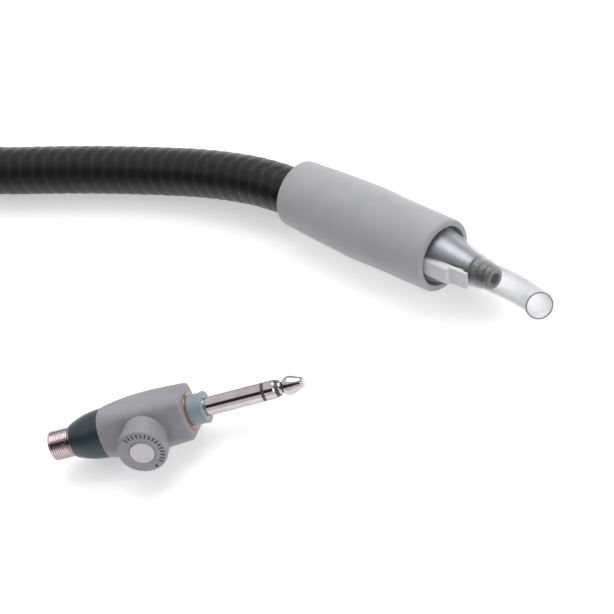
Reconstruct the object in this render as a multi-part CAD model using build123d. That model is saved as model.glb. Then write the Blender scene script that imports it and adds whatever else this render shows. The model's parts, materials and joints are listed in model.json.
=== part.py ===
from build123d import *
import math
import os

# A flexible-hose dental handpiece with its plug-in connector, lying unscrewed beside it.
# Millimetres. +X runs along the grip towards the tip, +Z is up, and the part rests on Z = 0.
# The origin is under the centre of the handpiece and the connector together.

# ---------------------------------------------------------------- driving dimensions: hose
HOSE_OD = 16.0
HOSE_BORE = 11.0

# ---------------------------------------------------------------- driving dimensions: grip sleeve
SLEEVE_LENGTH = 62.0
SLEEVE_FRONT_OD = 24.4
SLEEVE_SWELL_OD = 25.1
SLEEVE_REAR_OD = 22.2
SLEEVE_MOUTH_WALL = 2.1
SLEEVE_SWELL_AT = 31.0
SLEEVE_EDGE_ROUND = 0.9

# ---------------------------------------------------------------- driving dimensions: handpiece core
CHASSIS_WALL = 1.4
CHASSIS_RECESS = 3.6
FERRULE_WALL = 0.5
HOSE_END_FROM_MOUTH = 40.2
CRIMP_LENGTH = 16.0
STEM_BORE = 6.8
NIPPLE_OD = 9.0
AIR_TUBE_WALL = 1.1
JOURNAL_OD = 14.0
BUSH_LENGTH = 8.6
CORE_BORE = 5.2
CORE_TAIL_OD = 6.8

# ---------------------------------------------------------------- driving dimensions: nose and tip
CONE_BASE_OD = 18.4
CONE_NECK_OD = 10.8
CONE_LENGTH = 16.5
CONE_WALL = 0.8
SPIGOT_OD = 7.9
SPIGOT_REACH = 7.6
SPIGOT_BORE = 4.0
TIP_WALL = 0.5
TIP_STRAIGHT = 9.5
TIP_BEND_RADIUS = 35.0
TIP_BEND_ANGLE = 35.0
TIP_END_STRAIGHT = 3.0
TIP_ROLL = 32.0
COLLAR_OD = 10.9
COLLAR_LENGTH = 3.4
TAB_WIDTH = 5.6
TAB_TOP_RADIUS = 9.0
TAB_LENGTH = 17.0
TAB_OVERHANG = 2.0
TAB_STEP_LENGTH = 6.4
TAB_STEP_DROP = 1.5
TAB_ROLL = 56.0
TAB_TRAVEL = 0.6
TAB_KEEL = 0.4

# ---------------------------------------------------------------- driving dimensions: connector
PLUG_YAW = 38.1
PLUG_FROM_GRIP_X = -63.6
PLUG_FROM_GRIP_Y = -89.5
BODY_REAR = 15.0
BODY_FRONT = 14.9
BODY_REAR_FLATS = 16.0
BODY_SHOULDER_FLATS = 15.9
BODY_WAIST_FLATS = 16.3
BODY_FRONT_FLATS = 15.3
BODY_REAR_CORNERS = 0.9
BODY_SHOULDER_CORNERS = 0.5
BODY_CORNERS = 0.36
BODY_ROLL = 33.0
BODY_CAVITY_DIA = 12.4
BODY_FRONT_WALL = 3.2
BODY_NOSE_ROUND = 1.2
COVER_LENGTH = 11.6
COVER_REAR_OD = 11.2
COVER_FRONT_OD = 16.2
COVER_REAR_WALL = 5.6
COVER_SPIGOT = 3.6
THREAD_OD = 10.0
THREAD_LENGTH = 7.6
THREAD_PITCH = 0.75
THREAD_DEPTH = 0.4
THREAD_LEAD_IN = 0.2
TAIL_BORE = 7.5
TAIL_FLANGE_OD = 11.6

# ---------------------------------------------------------------- driving dimensions: 6.35 mm plug
PLUG_OD = 6.35
PLUG_SHANK_OD = 6.8
BUSH_OD = 10.2
BUSH_FLANGE_OD = 10.6
BUSH_FRONT = 20.4
BUSH_FLANGE_THICKNESS = 0.9
RING_OD = 12.2
RING_STAND = 0.35
PLUG_SLEEVE_END = 40.4
BAND_LENGTH = 1.1
BAND_RECESS = 0.2
RING_CONTACT_LENGTH = 3.6
PLUG_TIP_END = 54.3
TIP_BLUNTING = 1.8
CONTACT_WALL = 0.45
INSULATOR_WALL = 0.5

# ---------------------------------------------------------------- driving dimensions: dial branch
BRANCH_TILT = 22.0
BRANCH_OD = 15.6
BRANCH_WALL = 1.5
BRANCH_TOP = 11.0
DIAL_OD = 16.6
DIAL_FACE = 15.8
DIAL_GAP = 0.3
DIAL_SHAFT_OD = 6.8
DIAL_SHAFT_BORE = 4.0
BUTTON_OD = 8.1
BUTTON_STAND = 0.35
BUTTON_TRAVEL = 1.0
BUTTON_STEM = 2.8
BRANCH_BUSH_OD = 10.0
TRACK_LEVEL = 4.6

# ---------------------------------------------------------------- driving dimensions: coupling
DOCKING_GAP = 27.0
NUT_LENGTH = 16.0
NUT_LIP = 3.4
NUT_FLUTES = 24
COUPLING_STEM_NECK = 8.4
CRIMP_WALL = 1.1
END_CRIMP_LENGTH = 18.0

# ---------------------------------------------------------------- clearances
SLIP = 0.05        # radial gap of a sliding or turning fit
SEAT = 0.02        # radial gap of a fixed seat
THREAD_GAP = 0.12  # radial gap between the mating ring threads
FREE = 0.25        # gap beside a part that moves without guidance


# ================================================================ helpers
def turned(outline, rounds=()):
    """Solid of revolution about X from (x, radius) points; rounds is [(point, fillet radius)]."""
    profile = make_face(Polyline(*outline, close=True))
    for point, radius in rounds:
        corner = profile.vertices().sort_by_distance((point[0], point[1], 0))[0]
        profile = fillet(corner, radius)
    return revolve(profile, Axis.X)


def tube(start, end, outer_r, inner_r=0.0):
    """Plain ring or rod about X between two stations."""
    return turned([(start, inner_r), (start, outer_r), (end, outer_r), (end, inner_r)])


def thread_rings(start, end, crest_r, pitch, body_r):
    """Outline points of ring-shaped thread crests between two stations, on a bar or in a bore."""
    count = max(1, int((end - start) / pitch + 0.01))
    step = (end - start) / count
    points = []
    for turn in range(count):
        at = start + turn * step
        points += [(at, body_r), (at + 0.5 * step, crest_r)]
    return points + [(end, body_r)]


def support(flats, share, angle):
    """Half-width of a rounded square across a direction turned by angle from a flat's normal."""
    half = flats / 2
    off = math.radians((angle + 45) % 90 - 45)
    straight = half * (1 - share)
    return straight * (math.cos(off) + abs(math.sin(off))) + half * share


# ================================================================ frames of the three groups
SLEEVE_R = SLEEVE_SWELL_OD / 2
AXIS_HEIGHT = SLEEVE_R
BODY_AXIS_HEIGHT = support(BODY_WAIST_FLATS, BODY_CORNERS, BODY_ROLL)

plug_direction = Vector(math.cos(math.radians(PLUG_YAW)), math.sin(math.radians(PLUG_YAW)), 0)

grip_frame = Plane((0, 0, AXIS_HEIGHT), x_dir=(1, 0, 0), z_dir=(0, 0, 1))
plug_origin = Vector(PLUG_FROM_GRIP_X, PLUG_FROM_GRIP_Y, BODY_AXIS_HEIGHT)
plug_frame = Plane(plug_origin, x_dir=plug_direction, z_dir=(0, 0, 1))

cover_rear = -(BODY_REAR + COVER_LENGTH)
tail_end = cover_rear - THREAD_LENGTH
mouth_origin = plug_origin + plug_direction * (tail_end - DOCKING_GAP)
coupling_frame = Plane(mouth_origin, x_dir=plug_direction, z_dir=(0, 0, 1))

# ================================================================ handpiece: hose end and core
hose_r = HOSE_OD / 2
bore_r = HOSE_BORE / 2
ferrule_r = hose_r + SEAT + FERRULE_WALL
chassis_bore = ferrule_r + SEAT
chassis_r = chassis_bore + CHASSIS_WALL
sleeve_bore = chassis_r + SEAT
mouth_r = SLEEVE_FRONT_OD / 2 - SLEEVE_MOUTH_WALL
chassis_front = -CHASSIS_RECESS
hose_end = -HOSE_END_FROM_MOUTH
chassis_rear = hose_end - CRIMP_LENGTH - 0.4
stem_bore_r = STEM_BORE / 2
nipple_r = NIPPLE_OD / 2
journal_r = JOURNAL_OD / 2


def grip_sleeve():
    """Soft sleeve: slim at the rear, a faint swell half-way, a thin open mouth at the front."""
    rear_r, front_r = SLEEVE_REAR_OD / 2, SLEEVE_FRONT_OD / 2
    edge = SLEEVE_EDGE_ROUND
    behind, ahead = SLEEVE_LENGTH - edge - SLEEVE_SWELL_AT, SLEEVE_SWELL_AT - edge
    rise, fall = SLEEVE_R - rear_r, SLEEVE_R - front_r
    outer = Spline(
        (-SLEEVE_LENGTH + edge, rear_r),
        (-SLEEVE_SWELL_AT - 0.55 * behind, SLEEVE_R - 0.42 * rise),
        (-SLEEVE_SWELL_AT - 0.2 * behind, SLEEVE_R - 0.13 * rise),
        (-SLEEVE_SWELL_AT, SLEEVE_R),
        (-SLEEVE_SWELL_AT + 0.2 * ahead, SLEEVE_R - 0.6 * fall),
        (-SLEEVE_SWELL_AT + 0.6 * ahead, front_r + 0.05 * fall),
        (-edge, front_r),
        tangents=[(behind, 0.9 * rise), (1, 0)],
    )
    rim = ThreePointArc(
        (-edge, front_r), (-edge * (1 - math.sqrt(0.5)), front_r - edge * (1 - math.sqrt(0.5))),
        (0, front_r - edge),
    )
    heel = ThreePointArc(
        (-SLEEVE_LENGTH, rear_r - edge),
        (-SLEEVE_LENGTH + edge * (1 - math.sqrt(0.5)), rear_r - edge * (1 - math.sqrt(0.5))),
        (-SLEEVE_LENGTH + edge, rear_r),
    )
    inside = Polyline(
        (0, front_r - edge),
        (0, mouth_r),
        (chassis_front - SEAT, mouth_r),
        (chassis_front - SEAT, sleeve_bore),
        (chassis_rear - SEAT, sleeve_bore),
        (chassis_rear - SEAT, hose_r + 0.15),
        (-SLEEVE_LENGTH, hose_r + 0.15),
        (-SLEEVE_LENGTH, rear_r - edge),
    )
    return revolve(make_face([heel, outer, rim] + inside.edges()), Axis.X)


def chassis_tube():
    """Rigid tube inside the sleeve; the hose end is crimped in its rear, the nose turns in its front."""
    return turned([
        (chassis_rear, chassis_bore), (chassis_rear, chassis_r),
        (chassis_front, chassis_r), (chassis_front, chassis_bore),
    ], rounds=[((chassis_rear, chassis_r), 0.5), ((chassis_front, chassis_r), 0.4)])


def hose_ferrule():
    """Crimp ferrule over the hose's front end, with three pressed beads."""
    start, end = hose_end - CRIMP_LENGTH, hose_end
    return tube(start, end, ferrule_r, hose_r + SEAT)


def hose_stem():
    """Barbed stem in the hose bore, with a flange against the hose's end and a nipple in front."""
    barb = bore_r - SEAT
    points = [(hose_end - CRIMP_LENGTH, stem_bore_r), (hose_end - CRIMP_LENGTH, barb - 0.5)]
    for at in (0.25, 0.5, 0.75):
        station = hose_end - CRIMP_LENGTH * (1 - at)
        points += [(station, barb), (station + 0.01, barb - 0.45)]
    flange = 2.0
    points += [
        (hose_end + SEAT, barb - 0.45), (hose_end + SEAT, chassis_bore - SEAT),
        (hose_end + flange, chassis_bore - SEAT), (hose_end + flange, nipple_r),
        (hose_end + flange + 6.0, nipple_r - 0.2), (hose_end + flange + 6.0, stem_bore_r),
    ]
    return turned(points)


clip_station = chassis_front - BUSH_LENGTH - 0.2
journal_rear = clip_station - 2.2
seal_front = journal_rear - 0.6
seal_rear = seal_front - 6.0
core_tail = CORE_TAIL_OD / 2


def air_tube():
    """Soft line from the stem's nipple to the rotary seal carrier."""
    inner = nipple_r + SEAT
    return tube(hose_end + 2.0 + SEAT, seal_rear - SEAT, inner + AIR_TUBE_WALL, inner)


def seal_carrier():
    """Plastic carrier that holds the rotary seal against the air tube."""
    outer = chassis_bore - SEAT
    seat = core_tail + 1.7
    return turned([
        (seal_rear, core_tail + 0.3), (seal_rear, outer), (seal_front, outer), (seal_front, seat),
        (seal_rear + 1.6, seat), (seal_rear + 1.6, core_tail + 0.3),
    ])


def rotary_seal():
    """Rubber ring that the turning core's tail runs in."""
    return tube(seal_rear + 1.7, seal_front - 0.1, core_tail + 1.7 - SEAT, core_tail + SLIP)


def nose_bush():
    """Acetal bush pressed in the chassis, in which the nose turns."""
    end = chassis_front
    return turned([
        (end - BUSH_LENGTH, journal_r + SLIP), (end - BUSH_LENGTH, chassis_bore - SEAT),
        (end, chassis_bore - SEAT), (end, journal_r + SLIP),
    ])


def nose_clip():
    """Split retaining ring in the journal's groove, behind the bush."""
    ring = tube(clip_station - 0.8, clip_station, journal_r + 0.9, journal_r - 0.6 + SEAT)
    gap = Pos(clip_station - 0.4, journal_r, 0) * Box(2, 4, 1.6)
    return ring - gap


# ================================================================ handpiece: nose
cone_base = chassis_front + 0.6 + SLIP
cone_tip = cone_base + CONE_LENGTH
cone_base_r = CONE_BASE_OD / 2
cone_neck_r = CONE_NECK_OD / 2
core_base_r = cone_base_r - CONE_WALL - SEAT
core_neck_r = cone_neck_r - CONE_WALL - SEAT
spigot_r = SPIGOT_OD / 2
tip_bore_r = spigot_r + SLIP + 0.05
tip_r = tip_bore_r + TIP_WALL
collar_start = cone_tip + 0.3
spigot_end = collar_start + SPIGOT_REACH
tab_half = TAB_WIDTH / 2
tab_floor = TAB_TOP_RADIUS - 3.0
tab_front = cone_tip + TAB_OVERHANG
tab_rear = cone_tip - TAB_LENGTH
tab_nose_floor = COLLAR_OD / 2 + TAB_TRAVEL + 0.2
tab_frame = Rot(TAB_ROLL, 0, 0)
slot_floor = tab_floor - TAB_KEEL - TAB_TRAVEL - FREE


def tab_slot():
    """Channel along the nose that the release tab works in, cut from its floor outwards."""
    depth = 8.0
    rear, front = tab_rear - FREE, tab_front + 1.0
    channel = Pos((rear + front) / 2, 0, slot_floor + depth / 2) * Box(
        front - rear, TAB_WIDTH + 2 * FREE, depth
    )
    return tab_frame * channel


def nose_core():
    """Satin cone on a hollow journal, with a tail for the rotary seal and a socket for the spigot."""
    bore = CORE_BORE / 2
    groove = journal_r - 0.6
    socket = spigot_r - 0.9
    body = turned([
        (seal_rear + 2.0, bore), (seal_rear + 2.0, core_tail), (journal_rear, core_tail),
        (journal_rear, journal_r), (clip_station - 0.85, journal_r), (clip_station - 0.85, groove),
        (clip_station + 0.05, groove), (clip_station + 0.05, journal_r),
        (chassis_front + 0.1, journal_r), (chassis_front + 0.1, core_base_r),
        (cone_base + 1.0, core_base_r), (cone_tip, core_neck_r),
        (cone_tip, socket), (cone_tip - 5.0, socket), (cone_tip - 5.0, bore),
    ])
    return body - tab_slot()


def nose_cone():
    """Clear shell over the core, open at both ends, slotted for the release tab."""
    shell = turned([
        (cone_base, core_base_r + SEAT), (cone_base, cone_base_r), (cone_base + 1.2, cone_base_r),
        (cone_tip, cone_neck_r), (cone_tip, core_neck_r + SEAT), (cone_base + 1.0, core_base_r + SEAT),
    ])
    return shell - tab_slot()


def release_tab():
    """Grip-coloured rib along the nose, with a lower stepped front that holds the collar."""
    top = TAB_TOP_RADIUS
    step = tab_front - TAB_STEP_LENGTH
    side = Polyline(
        (tab_rear, tab_floor), (tab_rear, top), (step - 0.6, top), (step, top - 0.6),
        (step, top - TAB_STEP_DROP), (tab_front, top - TAB_STEP_DROP - 0.4), (tab_front, tab_nose_floor),
        (cone_tip - 0.3, tab_nose_floor), (cone_tip - 0.3, tab_floor - TAB_KEEL), (step, tab_floor),
        close=True,
    )
    rib = extrude(Plane.XZ * make_face(side), tab_half, both=True)
    return tab_frame * fillet(rib.edges().filter_by(Axis.X).group_by(Axis.Z)[-1], 0.7)


def tab_spring():
    """Bowed leaf spring between the floor of the slot and the release tab."""
    length, thick = 9.0, 0.15
    base = slot_floor + SEAT
    crown = tab_floor - SEAT - thick
    start, end = tab_rear + 2.0, tab_rear + 2.0 + length
    middle = (start + end) / 2
    leaf = make_face([
        ThreePointArc((start, base), (middle, crown), (end, base)),
        Line((end, base), (end, base + thick)),
        ThreePointArc((end, base + thick), (middle, crown + thick), (start, base + thick)),
        Line((start, base + thick), (start, base)),
    ])
    return tab_frame * extrude(Plane.XZ * leaf, tab_half - 0.6, both=True)


# ================================================================ handpiece: spigot and tip
socket_r = spigot_r - 0.9
o_ring_wire = 0.4
o_ring_outer = tip_bore_r - 0.03
o_ring_stations = (collar_start + 2.6, collar_start + 5.2)


def tip_spigot():
    """Dark metal spigot with two ring grooves, which the clear tube pushes onto."""
    bore = SPIGOT_BORE / 2
    groove = o_ring_outer - 2 * o_ring_wire - 0.01
    points = [
        (cone_tip - 5.0 + SEAT, bore), (cone_tip - 5.0 + SEAT, socket_r - SEAT),
        (cone_tip + SEAT, socket_r - SEAT), (cone_tip + SEAT, spigot_r),
    ]
    for station in o_ring_stations:
        points += [
            (station - o_ring_wire - 0.05, spigot_r), (station - o_ring_wire - 0.05, groove),
            (station + o_ring_wire + 0.05, groove), (station + o_ring_wire + 0.05, spigot_r),
        ]
    points += [(spigot_end - 0.8, spigot_r), (spigot_end, spigot_r - 0.6), (spigot_end, bore)]
    return turned(points)


def tip_o_rings():
    """Two rubber rings that grip the tip tube."""
    ring = Rot(0, 90, 0) * Torus(o_ring_outer - o_ring_wire, o_ring_wire)
    return Compound([Pos(station, 0, 0) * ring for station in o_ring_stations])


def tip_tube():
    """Thin clear tube: straight over the spigot, then bent, with a square-cut end."""
    bend = math.radians(TIP_BEND_ANGLE)
    corner = collar_start + TIP_STRAIGHT + TIP_BEND_RADIUS * math.tan(bend / 2)
    reach = TIP_BEND_RADIUS * math.tan(bend / 2) + TIP_END_STRAIGHT
    path = FilletPolyline(
        (collar_start, 0, 0), (corner, 0, 0),
        (corner + reach * math.cos(bend), 0, reach * math.sin(bend)), radius=TIP_BEND_RADIUS,
    )
    section = Plane(path @ 0, z_dir=path % 0) * (Circle(tip_r) - Circle(tip_bore_r))
    return Rot(TIP_ROLL, 0, 0) * sweep(section, path)


def tip_collar():
    """Clear ring bonded round the tube's base."""
    start, end = collar_start, collar_start + COLLAR_LENGTH
    outer, inner = COLLAR_OD / 2, tip_r + SEAT
    return turned([(start, inner), (start, outer), (end, outer - 0.5), (end, inner)])


# ================================================================ connector: shell and tail
cavity_r = BODY_CAVITY_DIA / 2
plug_r = PLUG_OD / 2
shank_r = PLUG_SHANK_OD / 2
bush_r = BUSH_OD / 2
ring_r = RING_OD / 2
branch_r = BRANCH_OD / 2
branch_bore = branch_r - BRANCH_WALL
front_wall = BODY_FRONT - BODY_FRONT_WALL
to_branch = Rot(0, 0, -90) * Rot(0, -BRANCH_TILT, 0)


def body_section(station, flats, corners):
    """Rounded square across the connector's axis; corners is the share of a half side that is round."""
    plane = Plane((station, 0, 0), x_dir=(0, 1, 0), z_dir=(1, 0, 0))
    return plane * (Rot(0, 0, -BODY_ROLL) * RectangleRounded(flats, flats, corners * flats / 2))


def connector_body():
    """Barrel of rounded-square section with a round branch, hollow, walled at the front."""
    barrel = loft([
        body_section(-BODY_REAR, BODY_REAR_FLATS, BODY_REAR_CORNERS),
        body_section(-0.66 * BODY_REAR, BODY_SHOULDER_FLATS, BODY_SHOULDER_CORNERS),
        body_section(0.1 * BODY_FRONT, BODY_WAIST_FLATS, BODY_CORNERS),
        body_section(BODY_FRONT, BODY_FRONT_FLATS, BODY_CORNERS),
    ])
    front_edges = barrel.edges().group_by(Axis.X)[-1]
    barrel = fillet(front_edges, BODY_NOSE_ROUND)
    branch = to_branch * tube(0, BRANCH_TOP, branch_r)
    shell = barrel + branch
    shell -= tube(-BODY_REAR - 1, front_wall, cavity_r)
    shell -= tube(front_wall - 1, BODY_FRONT + 1, bush_r + SEAT)
    shell -= tube(BODY_FRONT - 0.8, BODY_FRONT + 1, ring_r + SEAT)
    shell -= to_branch * tube(0, BRANCH_TOP - BRANCH_WALL, branch_bore)
    shell -= to_branch * tube(0, BRANCH_TOP + 1, BRANCH_BUSH_OD / 2 + SEAT)
    return shell


tail_r = THREAD_OD / 2
tail_bore = TAIL_BORE / 2
tail_flange = TAIL_FLANGE_OD / 2
stem_seat = cover_rear + COVER_REAR_WALL


def tail_cover():
    """Tapered cover screwed into the rear of the body; it traps the threaded stem's flange."""
    rear_r, front_r = COVER_REAR_OD / 2, COVER_FRONT_OD / 2
    spigot = cavity_r - SEAT
    middle = (cover_rear - BODY_REAR) / 2
    flank = ThreePointArc(
        (cover_rear + 0.3, rear_r), (middle, (rear_r + front_r) / 2 + 0.6), (-BODY_REAR - SEAT, front_r)
    )
    inside = Polyline(
        (-BODY_REAR - SEAT, front_r), (-BODY_REAR - SEAT, spigot),
        (-BODY_REAR + COVER_SPIGOT, spigot), (-BODY_REAR + COVER_SPIGOT, tail_flange + SEAT),
        (stem_seat, tail_flange + SEAT), (stem_seat, tail_r + SEAT), (cover_rear, tail_r + SEAT),
        (cover_rear, rear_r - 0.3), (cover_rear + 0.3, rear_r),
    )
    return revolve(make_face([flank] + inside.edges()), Axis.X)


def threaded_stem():
    """Nickelled hollow tail with an M10 x 0.75 thread, drawn as rings, and a flange inside the cover."""
    root = tail_r - THREAD_DEPTH
    start = tail_end + THREAD_LEAD_IN
    rings = thread_rings(start, cover_rear - 0.3, tail_r, THREAD_PITCH, root)
    return turned([(tail_end, tail_bore), (tail_end, root)] + rings + [
        (cover_rear - 0.3, tail_r), (stem_seat + SEAT, tail_r), (stem_seat + SEAT, tail_flange),
        (stem_seat + 2.5, tail_flange), (stem_seat + 2.5, tail_bore),
    ])


def stem_retainer():
    """Push-in ring that holds the stem's flange in the cover."""
    return tube(stem_seat + 2.55, stem_seat + 3.6, tail_flange, tail_flange - 1.3)


PIN_CIRCLE = 1.9
PIN_R = 0.5
PIN_RECESS = 1.2
CARRIER_RECESS = 4.2
CARRIER_LENGTH = 4.0
PIN_ANGLES = (90, 210, 330)
pins_end = tail_end + CARRIER_RECESS + CARRIER_LENGTH + 2.0


def around(angle, radius):
    """Offset across the axis at an angle from +Y towards +Z."""
    return Pos(0, radius * math.cos(math.radians(angle)), radius * math.sin(math.radians(angle)))


def pin_carrier():
    """Insulating disc with three bores, recessed in the hollow tail."""
    start = tail_end + CARRIER_RECESS
    disc = tube(start, start + CARRIER_LENGTH, tail_bore - SEAT)
    for angle in PIN_ANGLES:
        disc -= around(angle, PIN_CIRCLE) * tube(start - 1, start + CARRIER_LENGTH + 1, PIN_R)
    return disc


def contact_pins():
    """Three gold contact pins."""
    pin = turned([
        (tail_end + PIN_RECESS, 0), (tail_end + PIN_RECESS, PIN_R - 0.2),
        (tail_end + PIN_RECESS + 0.3, PIN_R), (pins_end, PIN_R), (pins_end, 0),
    ])
    return Compound([around(angle, PIN_CIRCLE) * pin for angle in PIN_ANGLES])


# ================================================================ connector: 6.35 mm three-pole plug
sleeve_inner = plug_r - CONTACT_WALL
rear_insulator_outer = sleeve_inner - SEAT
rear_insulator_inner = rear_insulator_outer - INSULATOR_WALL
ring_tube_outer = rear_insulator_inner - SEAT
ring_tube_inner = ring_tube_outer - CONTACT_WALL
front_insulator_outer = ring_tube_inner - SEAT
front_insulator_inner = front_insulator_outer - INSULATOR_WALL
rod_r = front_insulator_inner - SEAT
rear_band = PLUG_SLEEVE_END
ring_start = rear_band + BAND_LENGTH
ring_stop = ring_start + RING_CONTACT_LENGTH
tip_start = ring_stop + BAND_LENGTH
flange_front = front_wall - 1.1
flange_rear = flange_front - 1.4
sleeve_rear = flange_rear - 1.0
STEP_BACK = 0.85   # each inner conductor ends this much further back, for its solder lug


def copper_ring():
    """Flat copper ring let into the body's front face."""
    return turned([
        (BODY_FRONT - 0.8, bush_r + SEAT), (BODY_FRONT - 0.8, ring_r),
        (BODY_FRONT + RING_STAND, ring_r), (BODY_FRONT + RING_STAND, bush_r + SEAT),
    ], rounds=[((BODY_FRONT + RING_STAND, ring_r), 0.2)])


def plug_bush():
    """Insulating bush through the front wall, flanged behind it and at its mouth."""
    mouth = BUSH_FRONT - BUSH_FLANGE_THICKNESS
    return turned([
        (flange_front, shank_r + SEAT), (flange_front, cavity_r - 0.3), (front_wall, cavity_r - 0.3),
        (front_wall, bush_r), (mouth, bush_r), (mouth + 0.1, BUSH_FLANGE_OD / 2),
        (BUSH_FRONT, BUSH_FLANGE_OD / 2), (BUSH_FRONT, shank_r + SEAT),
    ], rounds=[((BUSH_FRONT, BUSH_FLANGE_OD / 2), 0.3)])


def plug_sleeve():
    """Long outer contact of the plug, flanged at its rear."""
    return turned([
        (sleeve_rear, sleeve_inner), (sleeve_rear, plug_r), (flange_rear, plug_r),
        (flange_rear, cavity_r - 1.6), (flange_front - SEAT, cavity_r - 1.6),
        (flange_front - SEAT, shank_r), (BUSH_FRONT, shank_r), (BUSH_FRONT, plug_r),
        (rear_band, plug_r), (rear_band, sleeve_inner),
    ])


def rear_insulator():
    """Insulating tube between the sleeve and ring contacts, ending in a dark band."""
    rear = sleeve_rear - STEP_BACK
    return turned([
        (rear, rear_insulator_inner), (rear, rear_insulator_outer),
        (rear_band + SEAT, rear_insulator_outer), (rear_band + SEAT, plug_r - BAND_RECESS),
        (ring_start - SEAT, plug_r - BAND_RECESS), (ring_start - SEAT, rear_insulator_inner),
    ])


def ring_contact():
    """Ring contact of the plug with its inner tube."""
    rear = sleeve_rear - 2 * STEP_BACK
    return turned([
        (rear, ring_tube_inner), (rear, ring_tube_outer), (ring_start, ring_tube_outer),
        (ring_start, plug_r), (ring_stop - 0.5, plug_r), (ring_stop, plug_r - 0.3),
        (ring_stop, ring_tube_inner),
    ])


def front_insulator():
    """Insulating tube between the ring and tip contacts, ending in a narrow band."""
    rear = sleeve_rear - 3 * STEP_BACK
    return turned([
        (rear, front_insulator_inner), (rear, front_insulator_outer),
        (ring_stop + SEAT, front_insulator_outer), (ring_stop + SEAT, plug_r - 0.35),
        (tip_start - SEAT, plug_r - 0.7), (tip_start - SEAT, front_insulator_inner),
    ])


def tip_contact():
    """Tip contact: waist, round shoulder, cone and small flat end, on a long rod."""
    rear = sleeve_rear - 4 * STEP_BACK
    head = PLUG_TIP_END - tip_start
    rod = tube(rear, tip_start + 0.5, rod_r)
    outline = [
        Line((tip_start, 0), (tip_start, plug_r - 0.95)),
        Spline(
            (tip_start, plug_r - 0.95), (tip_start + 0.09 * head, plug_r - 1.15),
            (tip_start + 0.22 * head, plug_r - 0.45), (tip_start + 0.4 * head, plug_r),
            (tip_start + 0.6 * head, plug_r - 0.3), (tip_start + 0.92 * head, plug_r - 1.3),
        ),
        Line((tip_start + 0.92 * head, plug_r - 1.3), (PLUG_TIP_END, plug_r - TIP_BLUNTING)),
        Line((PLUG_TIP_END, plug_r - TIP_BLUNTING), (PLUG_TIP_END, 0)),
        Line((PLUG_TIP_END, 0), (tip_start, 0)),
    ]
    return rod + revolve(make_face(outline), Axis.X)


def solder_lugs():
    """Three solder lugs, one round the rear of each conductor, with tails for the leads."""
    lugs = []
    for step, conductor in enumerate((plug_r, ring_tube_outer, rod_r)):
        rear = sleeve_rear - (0, 2, 4)[step] * STEP_BACK
        washer = tube(rear + 0.1, rear + 0.4, conductor + 0.75, conductor + SEAT)
        tail = around(PIN_ANGLES[step], conductor + 0.6) * Box(0.3, 0.9, 0.9)
        lugs.append(washer + Pos(rear + 0.25, 0, 0) * tail)
    return Compound(lugs)


# ================================================================ connector: dial, button, electronics
dial_r = DIAL_OD / 2
shaft_r = DIAL_SHAFT_OD / 2
shaft_bore = DIAL_SHAFT_BORE / 2
bush_bore = shaft_r + SLIP
branch_bush_r = BRANCH_BUSH_OD / 2
dial_rear = BRANCH_TOP + DIAL_GAP
button_r = BUTTON_OD / 2
button_top = DIAL_FACE + BUTTON_STAND
button_head = 1.75
well_floor = button_top - button_head - BUTTON_TRAVEL - 0.3
board_top = -0.6
board_size = 9.0
switch_top = 2.1
stem_foot = switch_top + BUTTON_TRAVEL + 0.1


def branch_bush():
    """Brass bush in the branch's end wall, flanged inside."""
    wall = BRANCH_TOP - BRANCH_WALL
    return to_branch * turned([
        (wall - 2.8, bush_bore), (wall - 2.8, branch_bush_r), (wall - 1.0, branch_bush_r),
        (wall - 1.0, branch_bore - 0.2), (wall - SEAT, branch_bore - 0.2), (wall - SEAT, branch_bush_r),
        (BRANCH_TOP, branch_bush_r), (BRANCH_TOP, bush_bore),
    ])


wiper_level = TRACK_LEVEL + 0.3


def dial_shaft():
    """Hollow brass shaft of the dial, with a flange below the bush and the wiper's seat."""
    wall = BRANCH_TOP - BRANCH_WALL
    return to_branch * turned([
        (wiper_level + 0.5, shaft_bore), (wiper_level + 0.5, shaft_r + 1.2),
        (wall - 2.8 - 0.2, shaft_r + 1.2), (wall - 2.8 - 0.2, shaft_r),
        (well_floor, shaft_r), (well_floor, shaft_bore),
    ])


def pot_wiper():
    """Sprung contact arm under the shaft, just above the track."""
    disc = tube(wiper_level, wiper_level + 0.48, shaft_r, shaft_bore)
    arm = Pos(wiper_level + 0.24, branch_bore - 2.6, 0) * Box(0.48, 3.0, 1.4)
    return to_branch * (disc + arm)


def pot_base():
    """Insulating disc that carries the resistance track; the button's stem passes through it."""
    return to_branch * tube(TRACK_LEVEL - 1.4, TRACK_LEVEL, branch_bore - SEAT, BUTTON_STEM / 2 + 0.3)


def pot_track():
    """Open ring of resistance material on the disc."""
    ring = tube(TRACK_LEVEL, TRACK_LEVEL + 0.15, branch_bore - 0.7, branch_bore - 2.1)
    return to_branch * (ring - Pos(TRACK_LEVEL, 0, -branch_bore) * Box(2, 3, 5))


def dial_knob():
    """Round knob with a button well in its face, a hub on the shaft and a hollow back."""
    well = button_r + 0.1
    hub = shaft_r + SEAT
    return to_branch * turned([
        (dial_rear, dial_r - 1.1), (dial_rear, dial_r), (DIAL_FACE, dial_r), (DIAL_FACE, well),
        (well_floor, well), (well_floor, hub), (dial_rear, hub), (dial_rear, well + 0.7),
        (well_floor + 0.8, well + 0.7), (well_floor + 0.8, dial_r - 1.1),
    ], rounds=[((DIAL_FACE, dial_r), 1.1), ((dial_rear, dial_r), 0.4), ((DIAL_FACE, well), 0.25)])


def centre_button():
    """Push button in the dial's face, on a long stem that reaches the switch."""
    foot = BUTTON_STEM / 2
    return to_branch * turned([
        (stem_foot, 0), (stem_foot, foot), (button_top - button_head, foot),
        (button_top - button_head, button_r), (button_top, button_r), (button_top, 0),
    ], rounds=[((button_top, button_r), 0.3)])


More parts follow.
